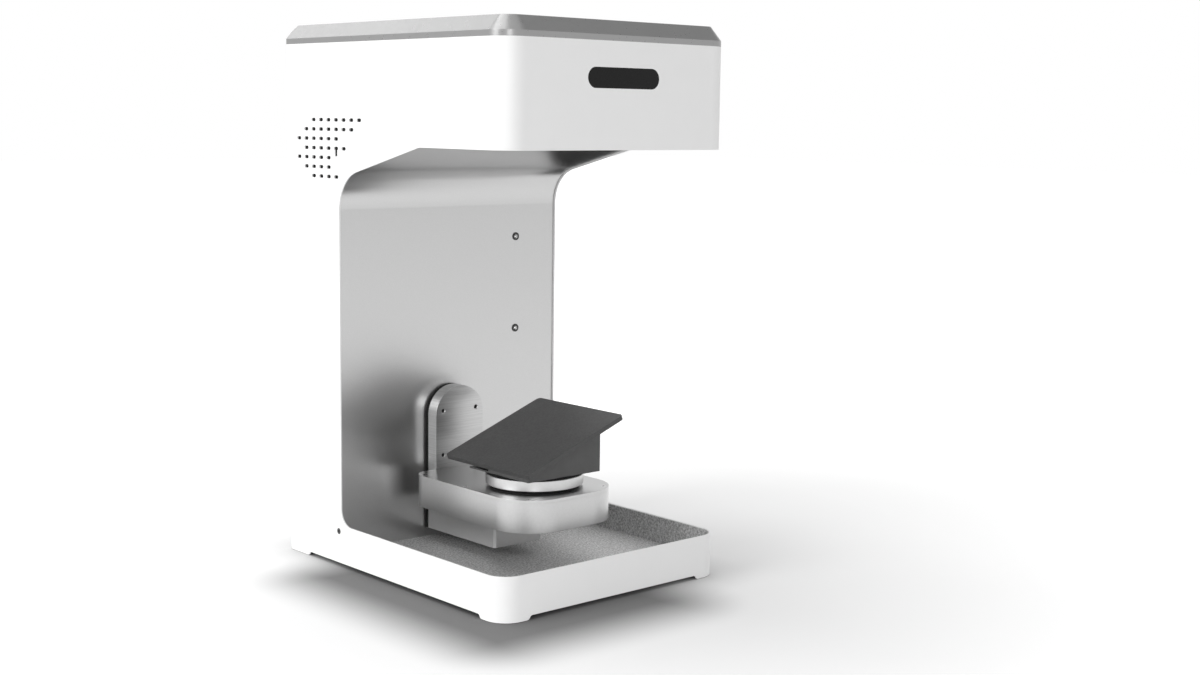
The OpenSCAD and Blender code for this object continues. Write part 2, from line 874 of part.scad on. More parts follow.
module chassis() {
    axle_clear = 2;
    color("#b5b7b8")
        difference() {
            union() {
                box_x(0, 2 * chassis_half_w, web_y, web_back_y, tray_floor_z, chassis_top_z);
                box_x(
                    0, 2 * chassis_half_w, web_y, web_y + chassis_flange,
                    tray_floor_z, tray_floor_z + chassis_t
                );
                for (side = [-1, 1])
                    box_x(
                        side * (chassis_half_w - chassis_t / 2),
                        chassis_t,
                        web_y,
                        web_y + chassis_flange,
                        tray_floor_z,
                        chassis_top_z
                    );
                for (z = liner_screw_z)
                    translate([liner_screw_x, 0, z]) rod_y(liner_post_r, liner_y + liner_t, web_back_y);
            }
            translate([swing_x, 0, swing_z]) rod_y(axle_r + axle_clear, web_y - cut, web_back_y + cut);
            translate([swing_x, 0, swing_z + swing_centres]) rod_y(boss_r, web_y - cut, web_back_y + cut);
            for (z = liner_screw_z)
                translate([liner_screw_x, 0, z]) rod_y(liner_screw_r, liner_y, web_back_y + cut);
        }
}

// Bearings of the swing axle in their block
block_w = 62;
block_h = 56;
block_l = 27;
bearing_w = 9;
bearing_shoulder = 3;
race_t = 2.6;
race_groove = 0.8;

module bearing_block() {
    color("#9fa1a3")
        difference() {
            box_x(swing_x, block_w, web_y - block_l, web_y, swing_z - block_h / 2, swing_z + block_h / 2);
            translate([swing_x, 0, swing_z]) {
                rod_y(bearing_r - bearing_shoulder, web_y - block_l - cut, web_y + cut);
                rod_y(bearing_r, web_y - block_l - cut, web_y - block_l + bearing_w);
                rod_y(bearing_r, web_y - bearing_w, web_y + cut);
            }
        }
}

// Ball bearing shown as two races and a recessed shield
module bearing(outer_r, inner_r, w) {
    difference() {
        cylinder(h = w, r = outer_r);
        translate([0, 0, -cut]) cylinder(h = w + 2 * cut, r = inner_r);
        for (z = [-cut, w - race_groove])
            translate([0, 0, z])
                difference() {
                    cylinder(h = race_groove + cut, r = outer_r - race_t);
                    translate([0, 0, -cut]) cylinder(h = race_groove + 3 * cut, r = inner_r + race_t);
                }
    }
}

module swing_bearings() {
    color(steel)
        for (y = [web_y - block_l, web_y - bearing_w])
            translate([swing_x, y, swing_z])
                rotate([-90, 0, 0]) bearing(bearing_r, axle_r + run_gap, bearing_w);
}

// Hollow axle with the flange that carries the swing plate
axle_flange_r = 17;
axle_flange_t = 2.6;
axle_tail = 18;
axle_end_y = web_back_y + axle_tail;

module swing_shaft() {
    color(steel)
        translate([swing_x, 0, swing_z])
            difference() {
                union() {
                    rod_y(axle_flange_r, plate_back_y, plate_back_y + axle_flange_t);
                    rod_y(axle_r, plate_back_y, axle_end_y);
                }
                rod_y(axle_bore_r, plate_back_y - cut, axle_end_y + cut);
            }
}

// Flanged belt pulley along Z with its holes
pulley_rim = 2.4;
pulley_rim_t = 1.2;

module pulley(r, bore_r, h, rim = pulley_rim) {
    difference() {
        union() {
            cylinder(h = h, r = r);
            cylinder(h = pulley_rim_t, r = r + rim);
            translate([0, 0, h - pulley_rim_t]) cylinder(h = pulley_rim_t, r = r + rim);
        }
        if (bore_r > 0) translate([0, 0, -cut]) cylinder(h = h + 2 * cut, r = bore_r);
    }
}

pulley_h = 9;
belt_h = 6;
belt_gap = 0.3;
pulley_off = 3;
swing_pulley_y = web_back_y + pulley_off;
shaft_end_gap = 1;

module swing_pulley() {
    hole_r = 6;
    hole_ring = (swing_pulley_r + axle_r) / 2;
    color("#a9abad")
        translate([swing_x, swing_pulley_y, swing_z])
            rotate([-90, 0, 0])
                difference() {
                    pulley(swing_pulley_r, axle_r, pulley_h);
                    for (i = [0 : 5])
                        rotate(60 * i)
                            translate([hole_ring, 0, -cut]) cylinder(h = pulley_h + 2 * cut, r = hole_r);
                }
}

// Short square stepper motor along Z, its mounting face at zero and its body below
boss_r = 11;
boss_h = 2;
motor_bevel = 4;
motor_end_t = 6;
motor_bore_l = 16;

module motor_body() {
    half = motor_w / 2;
    inner = half - motor_bevel;
    waist = 0.8;
    difference() {
        union() {
            translate([0, 0, -motor_end_t]) motor_slab(half, inner, motor_end_t);
            translate([0, 0, -motor_l]) motor_slab(half, inner, motor_end_t);
            translate([0, 0, -motor_l + motor_end_t])
                motor_slab(half - waist, inner - waist, motor_l - 2 * motor_end_t);
            cylinder(h = boss_h, r = boss_r);
        }
        translate([0, 0, -motor_bore_l])
            cylinder(h = motor_bore_l + boss_h + cut, r = motor_shaft_r + run_gap);
    }
}

module motor_slab(half, inner, h) {
    linear_extrude(h)
        polygon([
            [-half, -inner], [-inner, -half], [inner, -half], [half, -inner],
            [half, inner], [inner, half], [-inner, half], [-half, inner]
        ]);
}

module swing_motor() {
    color(black) translate([swing_x, web_y, swing_z + swing_centres]) rotate([-90, 0, 0]) motor_body();
}

module swing_pinion() {
    shaft_in = motor_bore_l - shaft_end_gap;
    pulley_z = swing_pulley_y - web_y;
    color(steel)
        translate([swing_x, web_y, swing_z + swing_centres])
            rotate([-90, 0, 0]) {
                translate([0, 0, -shaft_in])
                    cylinder(h = shaft_in + pulley_z + pulley_h + shaft_end_gap, r = motor_shaft_r);
                translate([0, 0, pulley_z]) pulley(swing_pinion_r, 0, pulley_h);
            }
}

// Outline round two pulleys, the first at the origin, the second along Y
module belt_outline(r1, r2, centres) {
    lean = asin((r1 - r2) / centres);
    union() {
        circle(r1);
        translate([0, centres]) circle(r2);
        polygon([
            [r1 * cos(lean), r1 * sin(lean)],
            [r2 * cos(lean), centres + r2 * sin(lean)],
            [-r2 * cos(lean), centres + r2 * sin(lean)],
            [-r1 * cos(lean), r1 * sin(lean)]
        ]);
    }
}

module belt(r1, r2, centres) {
    linear_extrude(belt_h)
        difference() {
            belt_outline(r1 + belt_gap + belt_t, r2 + belt_gap + belt_t, centres);
            belt_outline(r1 + belt_gap, r2 + belt_gap, centres);
        }
}

module swing_belt() {
    color(black)
        translate([swing_x, swing_pulley_y + (pulley_h + belt_h) / 2, swing_z])
            rotate([90, 0, 0]) belt(swing_pulley_r, swing_pinion_r, swing_centres);
}

// Front view of the swing plate and of the spacer behind it
module swing_outline(r, low_z) {
    union() {
        translate([swing_x, swing_z]) circle(r);
        translate([swing_x - r, low_z]) square([2 * r, swing_z - low_z]);
    }
}

swing_screw_r = 1.8;
swing_mouth = 0.5;
swing_screw_sink = 0.9;
swing_socket_r = 1.2;
swing_socket_h = 1.6;

module swing_screw_places() {
    for (side = [-1, 1], z = [swing_z + swing_screw_up, swing_z - swing_screw_down])
        translate([swing_x + side * swing_screw_x, plate_front_y, z]) children();
}

module swing_plate() {
    color(steel)
        difference() {
            along_y(plate_front_y, plate_back_y) swing_outline(swing_half_w, arm_bottom_z);
            swing_screw_places() {
                rod_y(swing_screw_r, -cut, swing_plate_t + cut);
                rotate([-90, 0, 0])
                    cylinder(h = swing_mouth, r1 = swing_screw_r + swing_mouth, r2 = swing_screw_r);
            }
        }
}

module swing_spacer() {
    color(black)
        difference() {
            along_y(plate_back_y, spacer_back_y) swing_outline(swing_half_w, swing_bottom_z);
            translate([swing_x, 0, swing_z]) {
                rod_y(axle_flange_r, plate_back_y - cut, plate_back_y + axle_flange_t);
                rod_y(axle_r, plate_back_y - cut, spacer_back_y + cut);
            }
            swing_screw_places() rod_y(swing_screw_r, 0, swing_plate_t + spacer_t - 2 * cut);
        }
}

module swing_screws() {
    color(black)
        swing_screw_places()
            difference() {
                rod_y(swing_screw_r, swing_screw_sink, swing_plate_t + spacer_t - 2 * cut);
                translate([0, swing_screw_sink, 0])
                    rotate([-90, 0, 0]) hex_socket(swing_socket_r, swing_socket_h);
            }
}

// Outline of the arm seen from above, drawn in by a distance
module arm_outline(inset) {
    left = arm_x - arm_w / 2 + inset;
    right = arm_x + arm_w / 2 - inset;
    near = arm_front_y + inset;
    far = plate_front_y - inset;
    fr = arm_front_r - inset;
    rr = arm_rear_r - inset;
    union() {
        translate([left + fr, near]) square([right - left - 2 * fr, fr + cut]);
        translate([left, near + fr]) square([right - left, far - near - fr - rr]);
        translate([left + rr, far - rr - cut]) square([right - left - 2 * rr, rr + cut]);
        translate([left + fr, near + fr]) circle(fr);
        translate([right - fr, near + fr]) circle(fr);
        translate([left + rr, far - rr]) circle(rr);
        translate([right - rr, far - rr]) circle(rr);
    }
}

arm_screw_r = 1.5;
arm_head_r = 2.7;
arm_head_h = 1.3;
arm_screw_l = 10;
arm_post_r = 3.4;
arm_post_in = 1;
arm_rear_screw_y = plate_front_y - arm_screw_rear;
arm_screw_y = [arm_rear_screw_y, arm_rear_screw_y - arm_screw_pitch];
arm_front_screw_x = arm_w / 2 - arm_front_screw_in;
arm_front_screw_y = arm_front_y + arm_screw_front;

module arm_screw_places() {
    for (side = [-1, 1]) {
        for (y = arm_screw_y)
            translate([arm_x + side * (arm_w / 2 - arm_screw_in), y, arm_top_z]) children();
        translate([arm_x + side * arm_front_screw_x, arm_front_screw_y, arm_top_z]) children();
    }
}

// Turntable drive along the arm
drive_x = swing_x;
drive_y = table_y + table_centres;
spindle_r = 8;
low_bearing_r = 14;
low_bearing_h = 6;
high_bearing_r = 15;
high_bearing_h = 7;
bearing_wall = 3.5;
table_pulley_off = 2;
table_pulley_z = arm_bottom_z + arm_wall + low_bearing_h + table_pulley_off;
cover_lip = 1;
high_bearing_z = arm_top_z - cover_lip - high_bearing_h;

module arm_body() {
    floor_top = arm_bottom_z + arm_wall;
    color(steel)
        difference() {
            union() {
                difference() {
                    translate([0, 0, arm_bottom_z]) linear_extrude(cover_z - arm_bottom_z) arm_outline(0);
                    translate([0, 0, floor_top]) linear_extrude(arm_h) arm_outline(arm_wall);
                }
                translate([table_x, table_y, arm_bottom_z])
                    cylinder(h = arm_wall + low_bearing_h, r = low_bearing_r + bearing_wall);
                intersection() {
                    arm_screw_places()
                        translate([0, 0, -arm_h]) cylinder(h = arm_h - arm_cover_t, r = arm_post_r);
                    translate([0, 0, arm_bottom_z]) linear_extrude(arm_h) arm_outline(arm_post_in);
                }
            }
            translate([table_x, table_y, floor_top]) cylinder(h = low_bearing_h + cut, r = low_bearing_r);
            translate([drive_x, drive_y, arm_bottom_z - cut]) cylinder(h = arm_wall + 2 * cut, r = boss_r);
            arm_screw_places()
                translate([0, 0, -arm_screw_l - cut]) cylinder(h = arm_screw_l + cut, r = arm_screw_r);
        }
}

module arm_cover() {
    color(steel)
        difference() {
            union() {
                translate([0, 0, cover_z]) linear_extrude(arm_cover_t) arm_outline(0);
                translate([table_x, table_y, high_bearing_z])
                    cylinder(h = high_bearing_h, r = high_bearing_r + bearing_wall);
            }
            translate([table_x, table_y, high_bearing_z - cut])
                cylinder(h = high_bearing_h + cover_lip + 2 * cut, r = high_bearing_r);
            arm_screw_places() arm_screw_shape();
        }
}

module arm_screw_shape() {
    translate([0, 0, -arm_head_h]) cylinder(h = arm_head_h, r1 = arm_screw_r, r2 = arm_head_r);
    translate([0, 0, -arm_screw_l]) cylinder(h = arm_screw_l, r = arm_screw_r);
}

module arm_screws() {
    color(steel)
        arm_screw_places()
            difference() {
                arm_screw_shape();
                mirror([0, 0, 1]) hex_socket(arm_screw_r * 0.75, arm_head_h * 0.9);
            }
}

// Box under the arm, open at its top, with bevelled front edges
module motor_box() {
    x0 = swing_x - swing_half_w;
    x1 = swing_x + swing_half_w;
    y0 = plate_front_y - motor_box_l;
    h = arm_bottom_z - swing_bottom_z;
    color(steel)
        difference() {
            translate([0, 0, swing_bottom_z])
                linear_extrude(h)
                    polygon([
                        [x0, y0 + motor_box_bevel],
                        [x0 + motor_box_bevel, y0],
                        [x1 - motor_box_bevel, y0],
                        [x1, y0 + motor_box_bevel],
                        [x1, plate_back_y],
                        [x0, plate_back_y]
                    ]);
            translate([x0 + motor_box_wall, y0 + motor_box_wall, swing_bottom_z + motor_box_wall])
                cube([
                    x1 - x0 - 2 * motor_box_wall,
                    plate_back_y - y0 - 2 * motor_box_wall,
                    h
                ]);
        }
}

module table_motor() {
    color(black) translate([drive_x, drive_y, arm_bottom_z]) motor_body();
}

module table_pinion() {
    shaft_in = motor_bore_l - shaft_end_gap;
    pulley_up = table_pulley_z - arm_bottom_z;
    color(steel)
        translate([drive_x, drive_y, arm_bottom_z]) {
            translate([0, 0, -shaft_in])
                cylinder(h = shaft_in + pulley_up + pulley_h + shaft_end_gap, r = motor_shaft_r);
            translate([0, 0, pulley_up]) pulley(table_pinion_r, 0, pulley_h);
        }
}

module table_belt() {
    dx = drive_x - table_x;
    dy = drive_y - table_y;
    color(black)
        translate([table_x, table_y, table_pulley_z + (pulley_h - belt_h) / 2])
            rotate(atan2(dy, dx) - 90) belt(table_pulley_r, table_pinion_r, sqrt(dx * dx + dy * dy));
}

spindle_flange_r = 14;
spindle_flange_t = 2.2;
dowel_r = 4;
dowel_up = 6;
spindle_end_gap = 0.4;
table_pulley_rim = 1.8;

module table_spindle() {
    low_z = arm_bottom_z + arm_wall + spindle_end_gap;
    color(steel)
        translate([table_x, table_y, 0]) {
            translate([0, 0, low_z]) cylinder(h = table_bottom_z - low_z, r = spindle_r);
            translate([0, 0, table_bottom_z - spindle_flange_t])
                cylinder(h = spindle_flange_t, r = spindle_flange_r);
            translate([0, 0, table_bottom_z])
                cylinder(h = pad_top_z + dowel_up - table_bottom_z, r = dowel_r);
        }
}

module table_pulley() {
    color("#a9abad")
        translate([table_x, table_y, table_pulley_z])
            pulley(table_pulley_r, spindle_r, pulley_h, table_pulley_rim);
}

module table_bearings() {
    color(steel)
        translate([table_x, table_y, 0]) {
            translate([0, 0, arm_bottom_z + arm_wall])
                bearing(low_bearing_r, spindle_r + run_gap, low_bearing_h);
            translate([0, 0, high_bearing_z])
                bearing(high_bearing_r, spindle_r + run_gap, high_bearing_h);
        }
}

collar_r = 41;
collar_in_r = 17;
collar_gap = 0.35;

module turntable_collar() {
    color(black)
        translate([table_x, table_y, arm_top_z])
            difference() {
                cylinder(h = table_lift - collar_gap, r = collar_r);
                translate([0, 0, -cut]) cylinder(h = table_lift + 2 * cut, r = collar_in_r);
            }
}

module turntable_disc() {
    bevel = 0.5;
    color("#dcdddd")
        translate([table_x, table_y, table_bottom_z])
            difference() {
                union() {
                    cylinder(h = bevel, r1 = table_r - bevel, r2 = table_r);
                    translate([0, 0, bevel]) cylinder(h = table_t - 2 * bevel, r = table_r);
                    translate([0, 0, table_t - bevel])
                        cylinder(h = bevel, r1 = table_r, r2 = table_r - bevel);
                }
                translate([0, 0, -cut]) cylinder(h = table_t + 2 * cut, r = dowel_r);
            }
}

module turntable_pad() {
    color(black)
        translate([table_x, table_y, table_top_z])
            difference() {
                cylinder(h = pad_t, r = pad_r);
                translate([0, 0, -cut]) cylinder(h = pad_t + 2 * cut, r = dowel_r);
            }
}

// Finger recess at the wedge's low rear corner
recess_l = 28;
recess_d = 8;
recess_z0 = 1.5;
recess_z1 = 10.5;

module wedge() {
    half = wedge_w / 2;
    rise = half * tan(plate_tilt);
    color(dark)
        difference() {
            along_y(table_y - half, table_y + half)
                translate([table_x, pad_top_z])
                    polygon([
                        [-half, 0], [half, 0], [half, wedge_mid_h + rise], [-half, wedge_mid_h - rise]
                    ]);
            translate([table_x, table_y, pad_top_z - cut]) cylinder(h = dowel_up + 2 * cut, r = dowel_r);
            translate([table_x - half - cut, table_y + half - recess_l, pad_top_z + recess_z0])
                cube([recess_d + cut, recess_l + cut, recess_z1 - recess_z0]);
        }
}

module object_plate() {
    half = plate_w / 2;
    flat = half - plate_corner_r;
    color(dark)
        translate([table_x, table_y, pad_top_z + wedge_mid_h])
            rotate([0, -plate_tilt, 0])
                linear_extrude(plate_t)
                    union() {
                        square([2 * half, 2 * flat], center = true);
                        square([2 * flat, 2 * half], center = true);
                        for (x = [-1, 1], y = [-1, 1])
                            translate([x * flat, y * flat]) circle(plate_corner_r);
                    }
}

// Optical head, tilted towards the column
module optics_place() {
    translate([0, front_y + optics_back, head_z + optics_lift]) rotate([optics_tilt, 0, 0]) children();
}

// Place along the depth where the optical axis passes the window
function optics_window_y() = front_y + optics_back + (optics_lift - liner_setback) * tan(optics_tilt);

bar_half_d = 35;
bar_t = 2;
bar_lip = 9;
bar_flange = 16;

module optics_bar() {
    w = 2 * (half_w - shell_t);
    color("#8f9193")
        optics_place() {
            box_x(0, w, -bar_half_d, bar_half_d, 0, bar_t);
            for (y = [-bar_half_d, bar_half_d - bar_t]) box_x(0, w, y, y + bar_t, 0, bar_lip);
            for (side = [-1, 1])
                box_x(
                    side * (half_w - shell_t - bar_t / 2), bar_t, -bar_half_d, bar_half_d, -bar_flange, bar_t
                );
        }
}

projector_w = 62;
projector_d = 58;
projector_h = 26;
projector_lens_r = 13;
projector_lens_l = 13;
projector_rim = 1.5;

module projector() {
    fin_count = 9;
    fin_pitch = 6.4;
    fin_w = 1.6;
    fin_h = 5;
    fin_end = 3;
    color(black)
        optics_place()
            difference() {
                box_x(0, projector_w, -projector_d / 2, projector_d / 2, -projector_h, 0);
                for (i = [0 : fin_count - 1], side = [-1, 1])
                    translate([
                        side * projector_w / 2,
                        (i - (fin_count - 1) / 2) * fin_pitch,
                        -projector_h / 2
                    ])
                        cube([fin_h, fin_w, projector_h - 2 * fin_end], center = true);
            }
}

module projector_lens() {
    color("#2b2b30")
        optics_place()
            translate([0, 0, -projector_h - projector_lens_l])
                difference() {
                    cylinder(h = projector_lens_l, r = projector_lens_r);
                    translate([0, 0, -cut])
                        cylinder(h = projector_rim + cut, r = projector_lens_r - projector_rim);
                }
}

camera_w = 30;
camera_h = 22;
camera_lens_r = 11;
camera_lens_l = 7;
camera_drop = 8;

module camera_place(side) {
    optics_place()
        translate([side * camera_x, 0, -camera_drop]) rotate([0, side * camera_lean, 0]) children();
}

module camera_body(side) {
    color(black) camera_place(side) box_x(0, camera_w, -camera_w / 2, camera_w / 2, -camera_h, 0);
}

module camera_left() {
    camera_body(-1);
}

module camera_right() {
    camera_body(1);
}

module camera_lenses() {
    color("#2b2b30")
        for (side = [-1, 1])
            camera_place(side)
                translate([0, 0, -camera_h - camera_lens_l])
                    difference() {
                        cylinder(h = camera_lens_l, r = camera_lens_r);
                        translate([0, 0, -cut])
                            cylinder(h = projector_rim + cut, r = camera_lens_r - projector_rim);
                    }
}

// Wedge blocks between the bar and the leaning cameras
module camera_brackets() {
    half = camera_w / 2 * cos(camera_lean);
    rise = camera_w / 2 * sin(camera_lean);
    color("#8f9193")
        optics_place()
            for (side = [-1, 1])
                translate([side * camera_x, 0, 0])
                    along_y(-camera_w / 2, camera_w / 2)
                        polygon([
                            [-half, 0],
                            [half, 0],
                            [half, -camera_drop - side * rise],
                            [-half, -camera_drop + side * rise]
                        ]);
}

module window() {
    glass_t = 2;
    lap = 4;
    z0 = head_z + liner_setback + liner_t;
    y0 = optics_window_y() - window_d / 2 - lap;
    color("#b9c7cc") box_x(0, window_w + 2 * lap, y0, y0 + window_d + 2 * lap, z0, z0 + glass_t);
}

// Electronics on the back of the inner frame
board_w = 130;
board_h = 108;
board_t = 1.6;
board_lift = 34;
board_z = swing_z + swing_centres + board_lift;
board_post_l = 8;
board_post_r = 3;
board_edge = 6;
board_y = web_back_y + board_post_l;

module board_posts() {
    color(brass)
        for (x = [-1, 1], z = [board_z + board_edge, board_z + board_h - board_edge])
            translate([x * (board_w / 2 - board_edge), 0, z]) rod_y(board_post_r, web_back_y, board_y);
}

module control_board() {
    color(green) box_x(0, board_w, board_y, board_y + board_t, board_z, board_z + board_h);
}

module board_parts() {
    y0 = board_y + board_t;
    chip_w = 24;
    chip_h = 3;
    sink_w = 32;
    sink_h = 12;
    plug_w = 16;
    plug_h = 9;
    plug_d = 8;
    plug_count = 5;
    plug_pitch = 24;
    sink_x = -34;
    chip_x = 22;
    sink_z = board_z + board_h / 2;
    chip_z = sink_z + sink_w / 2;
    plug_z = board_z + board_edge;
    plug_y = y0 + plug_h;
    color("#2a2a2a") {
        box_x(sink_x, sink_w, y0, y0 + sink_h, sink_z, sink_z + sink_w);
        box_x(chip_x, chip_w, y0, y0 + chip_h, chip_z, chip_z + chip_w);
        for (i = [0 : plug_count - 1])
            box_x((i - (plug_count - 1) / 2) * plug_pitch, plug_w, y0, plug_y, plug_z, plug_z + plug_d);
    }
}

supply_w = 54;
supply_h = 118;
supply_d = 30;
supply_z = tray_floor_z + chassis_t;

module power_supply() {
    x1 = chassis_half_w - chassis_t;
    color("#a7a9ab")
        box_x(
            x1 - supply_w / 2, supply_w, web_back_y, web_back_y + supply_d, supply_z, supply_z + supply_h
        );
}

// Fan against the inside of the rear panel
fan_bore_r = 28;
fan_hub_r = 12;
fan_spoke_w = 3;
fan_spoke_t = 2;
fan_blades = 7;
fan_blade_r = 26.8;
fan_rotor_r = 13;
fan_axle_r = 1.5;
fan_front_y = rear_inner_y - fan_t;

module fan_frame() {
    screw_r = 2.1;
    screw_at = 25;
    spoke_bite = 1;
    color(black)
        translate([fan_x, 0, fan_z])
            difference() {
                union() {
                    difference() {
                        box_x(0, fan_w, fan_front_y, rear_inner_y, -fan_w / 2, fan_w / 2);
                        rod_y(fan_bore_r, fan_front_y - cut, rear_inner_y + cut);
                        for (x = [-1, 1], z = [-1, 1])
                            translate([x * screw_at, 0, z * screw_at])
                                rod_y(screw_r, fan_front_y - cut, rear_inner_y + cut);
                    }
                    rod_y(fan_hub_r, fan_front_y, fan_front_y + fan_spoke_t);
                    for (i = [0 : 2])
                        rotate([0, 30 + 120 * i, 0])
                            translate([0, fan_front_y, -fan_spoke_w / 2])
                                cube([fan_bore_r + spoke_bite, fan_spoke_t, fan_spoke_w]);
                }
                rod_y(fan_axle_r + run_gap, fan_front_y - cut, fan_front_y + fan_spoke_t + cut);
            }
}

module fan_rotor() {
    end_gap = 1;
    face_gap = 1.5;
    bite = 1;
    y0 = fan_front_y + fan_spoke_t + end_gap;
    y1 = rear_inner_y - face_gap;
    blade_t = 1.3;
    blade_w = 13;
    blade_turn = 42;
    mid_y = (y0 + y1) / 2;
    color("#303030")
        translate([fan_x, 0, fan_z]) {
            rod_y(fan_rotor_r, y0, y1);
            rod_y(fan_axle_r, fan_front_y, y0 + bite);
            for (i = [0 : fan_blades - 1])
                rotate([0, i * 360 / fan_blades, 0])
                    translate([fan_rotor_r - bite, mid_y, 0])
                        rotate([blade_turn, 0, 0])
                            translate([0, -blade_t / 2, -blade_w / 2])
                                cube([fan_blade_r - fan_rotor_r, blade_t, blade_w]);
        }
}

// Socket shell with a thin flange flush with the housing's back
module socket_shell(x, z, w, h, flange, depth, wall) {
    y1 = back_y;
    y_flange = back_y - shell_t;
    difference() {
        union() {
            box_x(x, w + 2 * flange, y_flange, y1, z - h / 2 - flange, z + h / 2 + flange);
            box_x(x, w, y1 - depth, y_flange, z - h / 2, z + h / 2);
        }
        box_x(x, w - 2 * wall, y1 - depth + wall, y1 + cut, z - h / 2 + wall, z + h / 2 - wall);
    }
}

module power_inlet() {
    pin_w = 2;
    pin_h = 4;
    pin_l = 14;
    pin_pitch = 7;
    pin_shift = 2;
    y0 = back_y - inlet_depth + inlet_wall;
    color(black) {
        socket_shell(inlet_x, inlet_z, inlet_w, inlet_h, inlet_flange, inlet_depth, inlet_wall);
        for (i = [-1, 0, 1])
            box_x(
                inlet_x + i * pin_pitch,
                pin_w,
                y0 - fit_gap,
                y0 + pin_l,
                inlet_z - pin_h / 2 + (i == 0 ? pin_shift : -pin_shift),
                inlet_z + pin_h / 2 + (i == 0 ? pin_shift : -pin_shift)
            );
    }
}

module data_socket() {
    tongue_w = 5.6;
    tongue_h = 3.2;
    tongue_in = 5;
    y0 = back_y - socket_depth + socket_wall;
    color("#b9babb") {
        socket_shell(socket_x, socket_z, socket_w, socket_h, socket_flange, socket_depth, socket_wall);
        box_x(
            socket_x, tongue_w, y0 - fit_gap, back_y - tongue_in,
            socket_z - tongue_h / 2, socket_z + tongue_h / 2
        );
    }
}

// Rocker switch: it turns on a pin across its housing
rocker_pin_r = 1.2;
rocker_pivot_in = 6.2;
rocker_pivot_y = back_y - rocker_pivot_in;
rocker_half_h = 4.8;
rocker_gap = 0.5;
rocker_throw = 12;

module switch_housing() {
    color(black)
        difference() {
            socket_shell(switch_x, switch_z, switch_w, switch_h, switch_flange, switch_depth, switch_wall);
            translate([switch_x - switch_w / 2 - cut, rocker_pivot_y, switch_z])
                rotate([0, 90, 0]) cylinder(h = switch_w + 2 * cut, r = rocker_pin_r + run_gap);
        }
}

module power_switch() {
    w = switch_w - 2 * switch_wall - 2 * rocker_gap;
    face_y = 4.6;
    dip = 0.7;
    root_y = -1.8;
    root_h = 2.6;
    color("#202020")
        translate([switch_x, rocker_pivot_y, switch_z])
            rotate([rocker_throw / 2, 0, 0]) {
                across_x(-w / 2, w / 2)
                    polygon([
                        [root_y, -root_h],
                        [face_y, -rocker_half_h],
                        [face_y - dip, 0],
                        [face_y, rocker_half_h],
                        [root_y, root_h]
                    ]);
                translate([-switch_w / 2 + fit_gap, 0, 0])
                    rotate([0, 90, 0]) cylinder(h = switch_w - 2 * fit_gap, r = rocker_pin_r);
            }
}

shell_base();
shell_column();
shell_neck();
shell_head();
cap();
nameplate();
rear_panel();
rear_screws();
vent_filters();
liner();
liner_screws();
liner_washers();
side_screws();
pan();
base_plate();
foot_pads();
chassis();
bearing_block();
swing_bearings();
swing_shaft();
swing_pulley();
swing_motor();
swing_pinion();
swing_belt();
swing_plate();
swing_spacer();
swing_screws();
arm_body();
arm_cover();
arm_screws();
motor_box();
table_motor();
table_pinion();
table_belt();
table_spindle();
table_pulley();
table_bearings();
turntable_collar();
turntable_disc();
turntable_pad();
wedge();
object_plate();
optics_bar();
projector();
projector_lens();
camera_brackets();
camera_left();
camera_right();
camera_lenses();
window();
control_board();
board_parts();
board_posts();
power_supply();
fan_frame();
fan_rotor();
power_inlet();
switch_housing();
power_switch();
data_socket();
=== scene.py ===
import json
import math

import bpy
from mathutils import Matrix, Vector

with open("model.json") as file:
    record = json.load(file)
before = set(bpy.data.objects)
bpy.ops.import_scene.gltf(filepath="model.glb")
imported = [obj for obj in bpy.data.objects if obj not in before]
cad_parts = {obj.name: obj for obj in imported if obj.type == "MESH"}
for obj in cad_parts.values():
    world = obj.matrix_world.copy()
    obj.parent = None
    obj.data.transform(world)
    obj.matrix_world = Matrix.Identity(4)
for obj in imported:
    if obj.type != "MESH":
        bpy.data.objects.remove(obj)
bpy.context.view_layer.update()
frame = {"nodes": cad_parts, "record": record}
nodes = frame["nodes"]
WHITE_LIGHT = (1, 1, 1, 1)
made = {}


